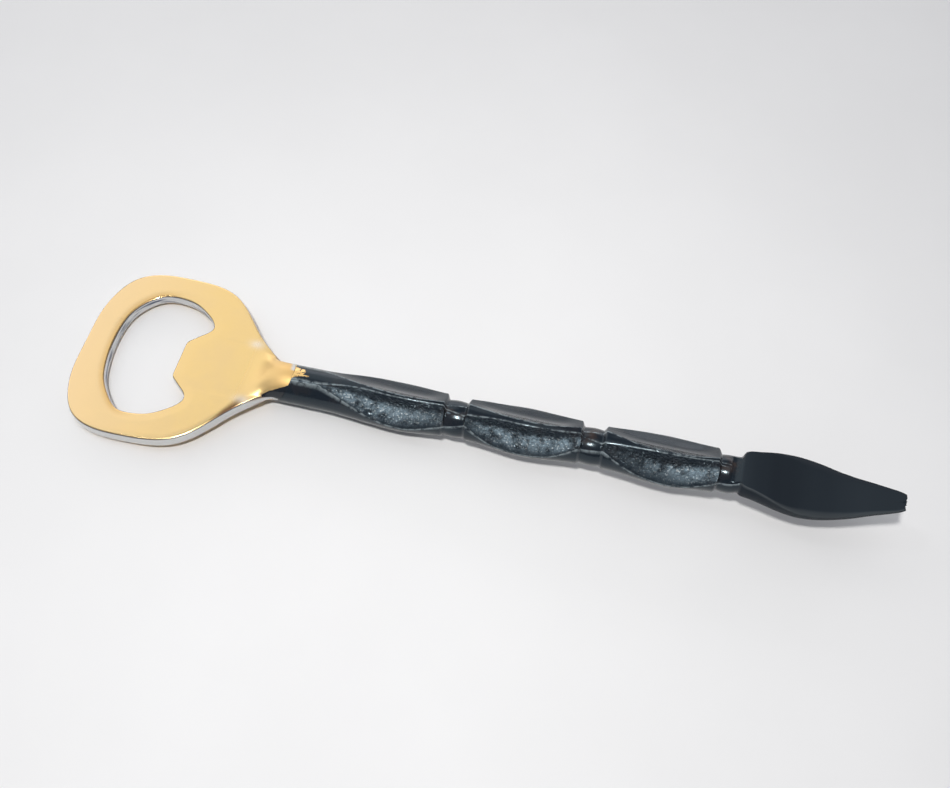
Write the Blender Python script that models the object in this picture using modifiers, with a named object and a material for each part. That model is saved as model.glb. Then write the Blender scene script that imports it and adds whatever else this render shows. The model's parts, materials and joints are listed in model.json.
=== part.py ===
"""Souvenir bottle opener.

A cast metal head, washed with gold on its flat faces, ends in a round neck and a tang. The tang is
glued into a blind bore in a carved black handle with three faceted segments, three turned collars
and a flattened leaf-shaped tip.

Design frame: the handle's axis is local X, measured from the head's far edge (0) to the tip. The
head's plate is centred on that axis and lies in the local XY plane. The parent empty tips this
frame into the pose in which the opener lies on a table: on the head's far edge and on the neck.
"""
import math

import bmesh
import bpy
import numpy as np
from mathutils import Vector

MM = 0.001

# Driving dimensions, in millimetres.
HEAD_WIDTH = 45.0
PLATE_THICKNESS = 3.0
PLATE_EDGE_ROUND = 0.6
NECK_RADIUS = 4.6
LENGTH = 189.0
TANG_RADIUS = 1.7
TANG_END = 84.0
GLUE_INNER_RADIUS = 2.0
GLUE_OUTER_RADIUS = 2.5
GLUE_SPAN = (53.0, 85.0)
BORE_RADIUS = 2.8
BORE_END = 86.0
JOINT_GAP = 0.3

# The neck swells out of the plate between these two stations.
NECK_SPAN = (40.0, 48.5)
# The joint between neck and handle is cut on a slant: x = JOINT_X + JOINT_SLOPE * z.
JOINT_X = 49.3
JOINT_SLOPE = 0.5

# Half of the head's outline, as (station, half-width), from the far edge to the neck.
HALF_WIDTH = HEAD_WIDTH / 2
HEAD_OUTLINE = (
    (2.0, 0.62 * HALF_WIDTH), (6.0, 0.875 * HALF_WIDTH), (12.0, 0.982 * HALF_WIDTH), (18.0, HALF_WIDTH),
    (24.0, 0.978 * HALF_WIDTH), (28.5, 0.925 * HALF_WIDTH), (34.0, 0.745 * HALF_WIDTH),
    (40.0, 0.465 * HALF_WIDTH), (44.0, 0.31 * HALF_WIDTH), (46.5, 0.2 * HALF_WIDTH),
)
PLATE_END = 47.5

# Half of the cap opening, from the far wall round the notch to the middle of the cap lip.
CAP_LIP_X = 23.3
OPENING_OUTLINE = (
    (7.6, 9.0), (10.5, 13.4), (14.0, 16.0), (18.0, 16.2), (22.0, 15.3), (25.5, 13.2),
    (27.7, 11.0), (28.0, 9.4), (26.4, 7.7), (24.4, 5.9), (CAP_LIP_X + 0.05, 4.3),
)
OPENING_FAR_X = 6.3

# Carved segments: start, fullest station, end, radii at those three, and half-widths of the
# lengthwise flats there, in degrees round the section.
SEGMENTS = (
    (58.0, 77.0, 87.2, 4.65, 5.80, 4.90, 0.5, 38.0, 32.0),
    (92.2, 105.5, 118.3, 4.75, 5.80, 4.80, 15.0, 38.0, 22.0),
    (123.3, 138.0, 148.8, 4.75, 5.85, 4.90, 15.0, 38.0, 28.0),
)
SEGMENT_STEPS = 12
FLATS = 4
COLLAR_RADIUS = 3.85
COLLAR_FILLET = 0.7

# Leaf tip: outline radii, the height of its scooped upper face above the middle line, and the rise
# of that middle line, which sags under the belly and curls up at the end.
TIP_RADII = (
    (153.8, 3.9), (154.2, 4.7), (156.5, 5.2), (160.0, 5.85), (163.5, 6.45), (167.0, 6.75), (171.0, 6.35),
    (175.0, 5.45), (179.0, 4.5), (182.5, 3.6), (186.0, 2.75), (LENGTH, 2.0),
)
TIP_TOP = ((154.0, 3.0), (159.5, 2.3), (163.0, 1.5), (167.0, 0.7), (171.0, 0.6), (178.0, 0.45), (190.0, 0.2))
TIP_SPINE = ((151.5, 0.0), (155.0, 0.9), (159.0, 0.75), (163.0, 0.35), (167.0, 0.0), (171.0, -0.3),
             (175.0, -0.35), (178.5, 0.1), (182.0, 1.0), (186.0, 1.9), (190.0, 3.0))

ROUND_STEPS = 40
CLEAR_OF_PART = 9.0

# The opener rests on the far edge of the plate and on the underside of the neck.
REST_TILT = math.atan2(NECK_RADIUS - PLATE_THICKNESS / 2, NECK_SPAN[1] - PLATE_EDGE_ROUND)


def clear_scene():
    """Remove every object that the file was opened with."""
    for item in list(bpy.data.objects):
        bpy.data.objects.remove(item, do_unlink=True)


def add_collection(name):
    """Return a new collection, linked to the scene."""
    collection = bpy.data.collections.new(name)
    bpy.context.scene.collection.children.link(collection)
    return collection


def add_material(name, colour, roughness, metallic):
    """Return a Principled material of one colour."""
    material = bpy.data.materials.new(name)
    material.use_nodes = True
    shader = material.node_tree.nodes["Principled BSDF"]
    shader.inputs["Base Color"].default_value = (*colour, 1.0)
    shader.inputs["Roughness"].default_value = roughness
    shader.inputs["Metallic"].default_value = metallic
    return material


def add_object(name, data, collection, parent):
    """Link a new object that is placed by its parent empty."""
    item = bpy.data.objects.new(name, data)
    collection.objects.link(item)
    item.parent = parent
    return item


def hide_cutter(item):
    """Mark an object as a cutting tool."""
    item.hide_render = True
    item.display_type = "WIRE"


def smoothstep(value):
    """Ease from 0 to 1 with level ends."""
    value = min(max(value, 0.0), 1.0)
    return value * value * (3.0 - 2.0 * value)


def through_three(station, stations, values):
    """Swell smoothly from a start value to the fullest station's value and back to an end value."""
    start, middle, end = stations
    if station <= middle:
        share = smoothstep((station - start) / (middle - start))
        return values[0] + (values[1] - values[0]) * share
    share = smoothstep((station - middle) / (end - middle))
    return values[1] + (values[2] - values[1]) * share


def turned(name, profile, steps, collection, parent):
    """Turn a profile of (station, radius) points round the handle's axis."""
    points = [Vector((radius, 0.0, station)) * MM for station, radius in reversed(profile)]
    mesh = bpy.data.meshes.new(name)
    mesh.from_pydata(points, [(index, index + 1) for index in range(len(points) - 1)], [])
    item = add_object(name, mesh, collection, parent)
    item.rotation_euler = (0.0, math.radians(90.0), 0.0)
    screw = item.modifiers.new("turn", "SCREW")
    screw.axis = "Z"
    screw.steps = steps
    screw.render_steps = steps
    screw.use_merge_vertices = True
    screw.merge_threshold = 0.00001
    screw.use_smooth_shade = True
    return item


def along(station, points):
    """Read a value at a station from a short list of (station, value) points."""
    stations, values = zip(*points)
    return float(np.interp(station, stations, values))


def spline_through(curve, points):
    """Add a closed Bezier spline that runs smoothly through flat points."""
    spline = curve.splines.new("BEZIER")
    spline.bezier_points.add(len(points) - 1)
    for knot, (station, across) in zip(spline.bezier_points, points):
        knot.co = Vector((station, across, 0.0)) * MM
        knot.handle_left_type = "AUTO"
        knot.handle_right_type = "AUTO"
    spline.use_cyclic_u = True


def mirrored(half, first_point, last_points):
    """Complete a half outline on the +Y side with its mirror image on the -Y side."""
    back = [(station, -across) for station, across in reversed(half)]
    return [first_point, *half, *last_points, *back]


def flat_solid(name, outlines, half_thickness, edge_round, collection, parent):
    """Extrude flat outlines both ways and weld the result into a closed mesh object."""
    curve = bpy.data.curves.new(name + "_outline", "CURVE")
    curve.dimensions = "2D"
    curve.fill_mode = "BOTH"
    curve.resolution_u = 8
    curve.extrude = (half_thickness - edge_round) * MM
    curve.bevel_depth = edge_round * MM
    curve.bevel_resolution = 2
    curve.offset = -edge_round * MM
    for outline in outlines:
        spline_through(curve, outline)
    guide = add_object(name + "_guide", curve, collection, parent)
    bpy.context.view_layer.update()
    evaluated = guide.evaluated_get(bpy.context.evaluated_depsgraph_get())
    mesh = bpy.data.meshes.new_from_object(evaluated)
    placed = guide.matrix_basis.copy()
    bpy.data.objects.remove(guide, do_unlink=True)
    shape = bmesh.new()
    shape.from_mesh(mesh)
    bmesh.ops.remove_doubles(shape, verts=shape.verts, dist=0.00001)
    bmesh.ops.recalc_face_normals(shape, faces=shape.faces)
    shape.to_mesh(mesh)
    shape.free()
    item = add_object(name, mesh, collection, parent)
    item.matrix_basis = placed
    return item


def cylinder(name, radius, span, steps, collection, parent):
    """Add a cylinder along the handle's axis between two stations."""
    mesh = bpy.data.meshes.new(name)
    shape = bmesh.new()
    bmesh.ops.create_cone(shape, cap_ends=True, segments=steps, radius1=radius * MM, radius2=radius * MM,
                          depth=(span[1] - span[0]) * MM)
    shape.to_mesh(mesh)
    shape.free()
    item = add_object(name, mesh, collection, parent)
    item.location = (0.5 * (span[0] + span[1]) * MM, 0.0, 0.0)
    item.rotation_euler = (0.0, math.radians(90.0), 0.0)
    return item


def bend_along_spine(item):
    """Fix an object's modifiers into its mesh and raise its stations by the tip's middle line."""
    bpy.context.view_layer.update()
    mesh = bpy.data.meshes.new_from_object(item.evaluated_get(bpy.context.evaluated_depsgraph_get()))
    item.modifiers.clear()
    item.data = mesh
    for vertex in mesh.vertices:
        vertex.co.x -= along(vertex.co.z / MM, TIP_SPINE) * MM


def combine(target, other, operation):
    """Apply a Boolean operation of one object on another."""
    change = target.modifiers.new(operation.lower(), "BOOLEAN")
    change.operation = operation
    change.solver = "EXACT"
    change.object = other
    return change


def neck_section(station, sides):
    """Return one ring of the neck: a rounded oblong near the plate that becomes a circle."""
    share = smoothstep((station - NECK_SPAN[0]) / (NECK_SPAN[1] - NECK_SPAN[0]))
    height = 1.3 + (NECK_RADIUS - 1.3) * share
    width = 6.6 + (NECK_RADIUS - 6.6) * share
    ring = []
    for side in range(sides):
        angle = 2.0 * math.pi * side / sides
        ring.append(Vector((station, width * math.cos(angle), height * math.sin(angle))))
    return ring


def add_neck(collection, parent):
    """Loft the neck from inside the plate to the slanted joint face."""
    sides = ROUND_STEPS
    stations = [NECK_SPAN[0] + 0.85 * index for index in range(11)]
    rings = [neck_section(station, sides) for station in stations]
    last = neck_section(NECK_SPAN[1], sides)
    for point in last:
        point.x = JOINT_X - JOINT_GAP / 2 + JOINT_SLOPE * point.z
    rings = [ring for ring in rings if ring[0].x < JOINT_X - JOINT_SLOPE * NECK_RADIUS - 0.5]
    rings.append(last)
    vertices = [point * MM for ring in rings for point in ring]
    faces = [tuple(range(sides)), tuple(range(len(vertices) - 1, len(vertices) - sides - 1, -1))]
    for row in range(len(rings) - 1):
        for side in range(sides):
            beside = (side + 1) % sides
            low, high = row * sides, (row + 1) * sides
            faces.append((low + side, high + side, high + beside, low + beside))
    mesh = bpy.data.meshes.new("neck")
    mesh.from_pydata(vertices, [], faces)
    shape = bmesh.new()
    shape.from_mesh(mesh)
    bmesh.ops.recalc_face_normals(shape, faces=shape.faces)
    shape.to_mesh(mesh)
    shape.free()
    return add_object("neck", mesh, collection, parent)


def add_head(parts, tools, parent):
    """Make the head: plate with its cap opening, neck and tang, cast in one."""
    plate = mirrored(HEAD_OUTLINE, (0.0, 0.0), [(PLATE_END, 0.0)])
    opening = mirrored(OPENING_OUTLINE, (OPENING_FAR_X, 0.0), [(CAP_LIP_X, 0.0)])
    head = flat_solid("opener_head", (plate, list(reversed(opening))), PLATE_THICKNESS / 2, PLATE_EDGE_ROUND,
                      parts, parent)
    neck = add_neck(tools, parent)
    tang = cylinder("tang", TANG_RADIUS, (NECK_SPAN[0] + 5.0, TANG_END), 24, tools, parent)
    for tool in (neck, tang):
        hide_cutter(tool)
        combine(head, tool, "UNION")
    head.data.materials.clear()
    head.data.materials.append(add_material("gold_washed_metal", (0.93, 0.72, 0.36), 0.18, 1.0))
    return head


def add_glue_sleeve(parts, tools, parent):
    """Make the tube of set glue between the tang and the bore."""
    sleeve = cylinder("glue_sleeve", GLUE_OUTER_RADIUS, GLUE_SPAN, 24, parts, parent)
    core = cylinder("glue_core", GLUE_INNER_RADIUS, (GLUE_SPAN[0] - 1.0, GLUE_SPAN[1] + 1.0), 24, tools, parent)
    hide_cutter(core)
    combine(sleeve, core, "DIFFERENCE")
    sleeve.data.materials.append(add_material("set_glue", (0.62, 0.50, 0.30), 0.35, 0.0))
    return sleeve


def handle_profile():
    """Return the turned outline of the whole handle as (station, radius) points."""
    profile = [(44.0, 0.0), (44.0, NECK_RADIUS), (54.0, NECK_RADIUS)]
    for start, middle, end, radius_start, radius_middle, radius_end, *_flats in SEGMENTS:
        if start > profile[-1][0] + COLLAR_FILLET and profile[-1][1] < NECK_RADIUS:
            profile.append((start - COLLAR_FILLET, COLLAR_RADIUS))
        for step in range(SEGMENT_STEPS + 1):
            station = start + (end - start) * step / SEGMENT_STEPS
            radius = through_three(station, (start, middle, end), (radius_start, radius_middle, radius_end))
            profile.append((station, radius))
        profile.append((end + 0.1, radius_end - 0.25))
        profile.append((end + COLLAR_FILLET, COLLAR_RADIUS))
    profile.extend(TIP_RADII)
    profile.append((LENGTH, 0.0))
    return profile


def flats_profile():
    """Return the corner radius of the four-sided solid whose faces are the lengthwise flats."""
    corner = 1.0 / math.cos(math.pi / FLATS)
    profile = [(43.0, 0.0), (43.0, CLEAR_OF_PART)]
    for start, middle, end, *rest in SEGMENTS:
        radii, flats = rest[:3], rest[3:]
        profile.append((start - 0.2, CLEAR_OF_PART))
        for step in range(SEGMENT_STEPS + 1):
            station = start + (end - start) * step / SEGMENT_STEPS
            radius = through_three(station, (start, middle, end), radii)
            half_flat = math.radians(through_three(station, (start, middle, end), flats))
            profile.append((station, radius * math.cos(half_flat) * corner))
        profile.append((end + 0.2, CLEAR_OF_PART))
    profile.append((LENGTH + 2.0, CLEAR_OF_PART))
    profile.append((LENGTH + 2.0, 0.0))
    return profile


def tip_side_solid(tools, parent):
    """Return the side profile that leaves the scooped upper face on the tip."""
    full = 8.0
    outline = [(42.0, full), (153.5, full), *TIP_TOP, (190.0, -full), (42.0, -full)]
    curve = bpy.data.curves.new("tip_side", "CURVE")
    curve.dimensions = "2D"
    curve.fill_mode = "BOTH"
    curve.extrude = CLEAR_OF_PART * MM
    spline = curve.splines.new("POLY")
    spline.points.add(len(outline) - 1)
    for knot, (station, height) in zip(spline.points, outline):
        knot.co = (station * MM, height * MM, 0.0, 1.0)
    spline.use_cyclic_u = True
    guide = add_object("tip_side_guide", curve, tools, parent)
    bpy.context.view_layer.update()
    mesh = bpy.data.meshes.new_from_object(guide.evaluated_get(bpy.context.evaluated_depsgraph_get()))
    bpy.data.objects.remove(guide, do_unlink=True)
    shape = bmesh.new()
    shape.from_mesh(mesh)
    bmesh.ops.remove_doubles(shape, verts=shape.verts, dist=0.00001)
    bmesh.ops.recalc_face_normals(shape, faces=shape.faces)
    shape.to_mesh(mesh)
    shape.free()
    solid = add_object("tip_side", mesh, tools, parent)
    solid.rotation_euler = (math.radians(90.0), 0.0, 0.0)
    return solid


def joint_block(tools, parent):
    """Return the block that cuts the handle's mouth along the slanted joint."""
    mesh = bpy.data.meshes.new("joint_block")
    shape = bmesh.new()
    bmesh.ops.create_cube(shape, size=1.0)
    bmesh.ops.scale(shape, vec=Vector((30.0, 30.0, 40.0)) * MM, verts=shape.verts)
    bmesh.ops.translate(shape, vec=Vector((-15.0, 0.0, 0.0)) * MM, verts=shape.verts)
    shape.to_mesh(mesh)
    shape.free()
    block = add_object("joint_block", mesh, tools, parent)
    block.location = Vector((JOINT_X + JOINT_GAP / 2, 0.0, 0.0)) * MM
    block.rotation_euler = (0.0, math.atan(JOINT_SLOPE), 0.0)
    return block


def add_handle(parts, tools, parent):
    """Make the carved handle: turned outline, lengthwise flats, leaf tip and blind bore."""
    handle = turned("handle", handle_profile(), ROUND_STEPS, parts, parent)
    tip_side = tip_side_solid(tools, parent)
    hide_cutter(tip_side)
    combine(handle, tip_side, "INTERSECT")
    bend_along_spine(handle)
    flats = turned("flats", flats_profile(), FLATS, tools, parent)
    bore = cylinder("bore", BORE_RADIUS, (42.0, BORE_END), 24, tools, parent)
    steps = (
        (flats, "INTERSECT"),
        (joint_block(tools, parent), "DIFFERENCE"),
        (bore, "DIFFERENCE"),
    )
    for tool, operation in steps:
        hide_cutter(tool)
        combine(handle, tool, operation)
    handle.data.materials.append(add_material("black_lacquered_wood", (0.012, 0.014, 0.015), 0.22, 0.0))
    return handle


def rest_on_table(parent, parts):
    """Tip the assembly into its resting pose, centred over the origin with its lowest point at zero."""
    parent.rotation_euler = (0.0, -REST_TILT, 0.0)
    bpy.context.view_layer.update()
    depsgraph = bpy.context.evaluated_depsgraph_get()
    corners = []
    for item in parts.objects:
        evaluated = item.evaluated_get(depsgraph)
        mesh = evaluated.to_mesh()
        corners.extend(evaluated.matrix_world @ vertex.co for vertex in mesh.vertices)
        evaluated.to_mesh_clear()
    low = Vector([min(corner[axis] for corner in corners) for axis in range(3)])
    high = Vector([max(corner[axis] for corner in corners) for axis in range(3)])
    parent.location = (-0.5 * (low.x + high.x), -0.5 * (low.y + high.y), -low.z)
    bpy.context.view_layer.update()


def shade_round(item):
    """Shade an object smooth, apart from its real edges."""
    item.data.shade_smooth()
    item.data.set_sharp_from_angle(angle=math.radians(30.0))


def main():
    """Build the opener."""
    clear_scene()
    parts = add_collection("souvenir_bottle_opener")
    tools = add_collection("cutting_tools")
    resting_pose = add_object("resting_pose", None, tools, None)
    pieces = (
        add_head(parts, tools, resting_pose),
        add_glue_sleeve(parts, tools, resting_pose),
        add_handle(parts, tools, resting_pose),
    )
    for piece in pieces:
        shade_round(piece)
    rest_on_table(resting_pose, parts)


main()
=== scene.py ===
"""Looks of the souvenir bottle opener: a gold-washed cast head glued into a carved black handle.

Lengths are millimetres in the design frame, whose X axis is the handle's axis, measured from the head's
far edge, and whose XY plane is the middle of the head's plate. RestingPose places them in the world.
"""

import json
import logging
import math
from dataclasses import dataclass
from enum import Enum
from typing import Any, Sequence

import bpy
import numpy as np
from mathutils import Matrix, Vector


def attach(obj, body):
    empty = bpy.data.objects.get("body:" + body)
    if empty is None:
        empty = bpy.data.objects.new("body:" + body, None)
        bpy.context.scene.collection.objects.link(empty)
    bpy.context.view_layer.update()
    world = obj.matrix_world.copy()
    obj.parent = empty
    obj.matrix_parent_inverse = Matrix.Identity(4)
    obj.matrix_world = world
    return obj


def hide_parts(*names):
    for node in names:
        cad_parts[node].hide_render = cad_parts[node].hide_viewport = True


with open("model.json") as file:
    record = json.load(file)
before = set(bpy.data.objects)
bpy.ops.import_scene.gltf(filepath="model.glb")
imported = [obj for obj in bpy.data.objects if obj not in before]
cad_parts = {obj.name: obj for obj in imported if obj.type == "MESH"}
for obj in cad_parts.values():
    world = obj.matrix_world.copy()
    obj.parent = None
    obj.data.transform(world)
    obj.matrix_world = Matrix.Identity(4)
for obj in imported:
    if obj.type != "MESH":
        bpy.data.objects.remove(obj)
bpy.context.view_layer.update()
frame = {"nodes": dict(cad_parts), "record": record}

LOG = logging.getLogger("bottle_opener")
MM = 0.001
BODY = "root"
NECK_RADIUS = 4.6
JOINT_X = 49.3
JOINT_SLOPE = 0.5
LENGTH = 189.0
HAIRLINE = 0.02
PLATE_TOP_MOUNT = (33.0, 0.0, 1.5)


class Piece(Enum):
    """The visible pieces and the material slots that they take their finish from."""

    HEAD = ("polished_head", "opener_head", "gold_washed_metal")
    HANDLE = ("carved_handle", "handle", "black_lacquered_wood")


# ---------------------------------------------------------------------------------------------- shapes

def ease(value: np.ndarray) -> np.ndarray:
    """Ease from 0 to 1 with level ends: 3v^2 - 2v^3, held at 0 and 1 outside."""
    share = np.clip(value, 0.0, 1.0)
    return share * share * (3.0 - 2.0 * share)


def soft_maximum(first: np.ndarray, second: np.ndarray, fillet: np.ndarray) -> np.ndarray:
    """Return the larger of two heights, filleted where they are within the fillet of each other.

    The formula is max(a, b) + h^2 k / 4, with h = max(k - |a - b|, 0) / k.

    Args:
        first: one height.
        second: the other height.
        fillet: how close the two are when the blend starts.

    Returns:
        The blended height.
    """
    blend = np.maximum(fillet - np.abs(first - second), 0.0) / fillet
    return np.maximum(first, second) + blend * blend * fillet / 4.0


class SmoothLine:
    """A flat line with continuous curvature through given points, with set end directions."""

    def __init__(self, points: Sequence[tuple[float, float]], start: tuple[float, float],
                 end: tuple[float, float]) -> None:
        """Solve the clamped cubic spline's second derivatives over chord length.

        Args:
            points: the points that the line runs through.
            start: the direction at the first point.
            end: the direction at the last point.
        """
        self.points = np.array(points, float)
        gaps = np.linalg.norm(np.diff(self.points, axis=0), axis=1)
        self.stations = np.concatenate([[0.0], np.cumsum(gaps)])
        count = len(points)
        matrix = np.zeros((count, count))
        right = np.zeros((count, 2))
        slopes = np.diff(self.points, axis=0) / gaps[:, None]
        for row in range(1, count - 1):
            matrix[row, row - 1:row + 2] = gaps[row - 1], 2.0 * (gaps[row - 1] + gaps[row]), gaps[row]
            right[row] = 6.0 * (slopes[row] - slopes[row - 1])
        matrix[0, :2] = 2.0 * gaps[0], gaps[0]
        matrix[-1, -2:] = gaps[-1], 2.0 * gaps[-1]
        right[0] = 6.0 * (slopes[0] - np.array(start))
        right[-1] = 6.0 * (np.array(end) - slopes[-1])
        self.bends = np.linalg.solve(matrix, right)

    def at(self, station: np.ndarray) -> np.ndarray:
        """Return the points at stations along the line.

        Args:
            station: distances along the chords.

        Returns:
            One point for each station.
        """
        left = np.clip(np.searchsorted(self.stations, station, side="right") - 1, 0, len(self.stations) - 2)
        gap = self.stations[left + 1] - self.stations[left]
        after = ((station - self.stations[left]) / gap)[:, None]
        before = 1.0 - after
        curve = ((before ** 3 - before) * self.bends[left] + (after ** 3 - after) * self.bends[left + 1])
        return before * self.points[left] + after * self.points[left + 1] + curve * gap[:, None] ** 2 / 6.0


def distance_to(points: np.ndarray, line: np.ndarray) -> np.ndarray:
    """Return each point's distance to an open polyline, by the nearest point on each of its legs.

    Args:
        points: the flat places to measure from.
        line: the polyline's corners, in order.

    Returns:
        One distance for each point.
    """
    start, leg = line[:-1], np.diff(line, axis=0)
    length = (leg ** 2).sum(1)
    nearest = np.empty(len(points))
    for low in range(0, len(points), 4000):
        offset = points[low:low + 4000, None, :] - start[None]
        share = np.clip((offset * leg[None]).sum(2) / length[None], 0.0, 1.0)
        gap = offset - share[..., None] * leg[None]
        nearest[low:low + 4000] = np.sqrt((gap ** 2).sum(2).min(1))
    return nearest


def grid_faces(rows: int, columns: int, rows_close: bool) -> np.ndarray:
    """Return the quads of a grid whose columns close on themselves, and whose rows do so if told to.

    Args:
        rows: number of rows.
        columns: number of points in a row.
        rows_close: whether the last row joins the first.

    Returns:
        Four point numbers for each quad.
    """
    down = np.arange(rows if rows_close else rows - 1)
    row, column = np.meshgrid(down, np.arange(columns), indexing="ij")
    next_row, next_column = (row + 1) % rows, (column + 1) % columns
    corners = (row * columns + column, next_row * columns + column,
               next_row * columns + next_column, row * columns + next_column)
    return np.stack(corners, axis=-1).reshape(-1, 4)


def turned_faces(rows: int, columns: int) -> list[tuple[int, ...]]:
    """Return the faces of a turned grid whose two ends are closed by fans to two added poles.

    Args:
        rows: number of rows.
        columns: number of points in a row.

    Returns:
        The quads and then the two fans.
    """
    quads = [tuple(face) for face in grid_faces(rows, columns, False).tolist()]
    first_pole, last_pole = rows * columns, rows * columns + 1
    last_row = (rows - 1) * columns
    start = [(first_pole, column, (column + 1) % columns) for column in range(columns)]
    end = [(last_pole, last_row + (column + 1) % columns, last_row + column) for column in range(columns)]
    return quads + start + end


@dataclass(frozen=True)
class RestingPose:
    """Where the design frame lies in the world: tipped by an angle about Y, then moved."""

    tilt: float
    offset: tuple[float, float, float]

    @classmethod
    def from_record(cls, record: dict[str, Any]) -> "RestingPose":
        """Read the pose from the mount on the plate's top face.

        Args:
            record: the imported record.

        Returns:
            The pose that puts the mount where the record says.
        """
        mount = next(item for item in record["mounts"] if item["name"] == "plate_top")
        across, _, upward = mount["axis"]
        tilt = math.atan2(-across, upward)
        turned = Matrix.Rotation(-tilt, 3, "Y") @ Vector(PLATE_TOP_MOUNT)
        return cls(tilt, tuple(Vector(mount["pos_m"]) / MM - turned))

    def matrix(self) -> Matrix:
        """Return the matrix from design millimetres to world metres."""
        move = Matrix.Translation(Vector(self.offset) * MM)
        return move @ Matrix.Rotation(-self.tilt, 4, "Y") @ Matrix.Scale(MM, 4)

    def place(self, points: np.ndarray) -> np.ndarray:
        """Return design points as world points."""
        matrix = np.array(self.matrix())
        return points @ matrix[:3, :3].T + matrix[:3, 3]


@dataclass
class Shell:
    """Points, faces and point attributes of one closed surface in the design frame."""

    points: np.ndarray
    faces: list[tuple[int, ...]]
    masks: dict[str, np.ndarray]

    def joined(self, other: "Shell") -> "Shell":
        """Return this shell and another as one.

        Args:
            other: the shell to add.

        Returns:
            One shell, whose missing attributes are 0.
        """
        shifted = [tuple(index + len(self.points) for index in face) for face in other.faces]
        masks = {name: np.concatenate([values, other.masks.get(name, np.zeros(len(other.points)))])
                 for name, values in self.masks.items()}
        return Shell(np.vstack([self.points, other.points]), self.faces + shifted, masks)

    def build(self, name: str, pose: RestingPose) -> bpy.types.Object:
        """Make the mesh object, with its place in its mesh, shaded smooth and facing outwards.

        Args:
            name: the object's name.
            pose: where the design frame lies.

        Returns:
            The linked object.
        """
        mesh = bpy.data.meshes.new(name)
        mesh.from_pydata(pose.place(self.points).tolist(), [], self.faces)
        mesh.validate()
        for mask, values in self.masks.items():
            layer = mesh.attributes.new(mask, "FLOAT", "POINT")
            layer.data.foreach_set("value", np.ascontiguousarray(values, np.float32))
        mesh.shade_smooth()
        item = bpy.data.objects.new(name, mesh)
        bpy.context.scene.collection.objects.link(item)
        return item


def outward(points: np.ndarray, faces: list[tuple[int, ...]]) -> list[tuple[int, ...]]:
    """Return the faces, turned over if the closed surface's signed volume is negative.

    Args:
        points: the surface's points.
        faces: the surface's faces.

    Returns:
        The faces, all turned outwards.
    """
    fans = np.array([(face[0], face[i], face[i + 1]) for face in faces for i in range(1, len(face) - 1)])
    a, b, c = points[fans[:, 0]], points[fans[:, 1]], points[fans[:, 2]]
    volume = (a * np.cross(b, c)).sum()
    return faces if volume > 0.0 else [face[::-1] for face in faces]


# ------------------------------------------------------------------------------------------------ head

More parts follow.
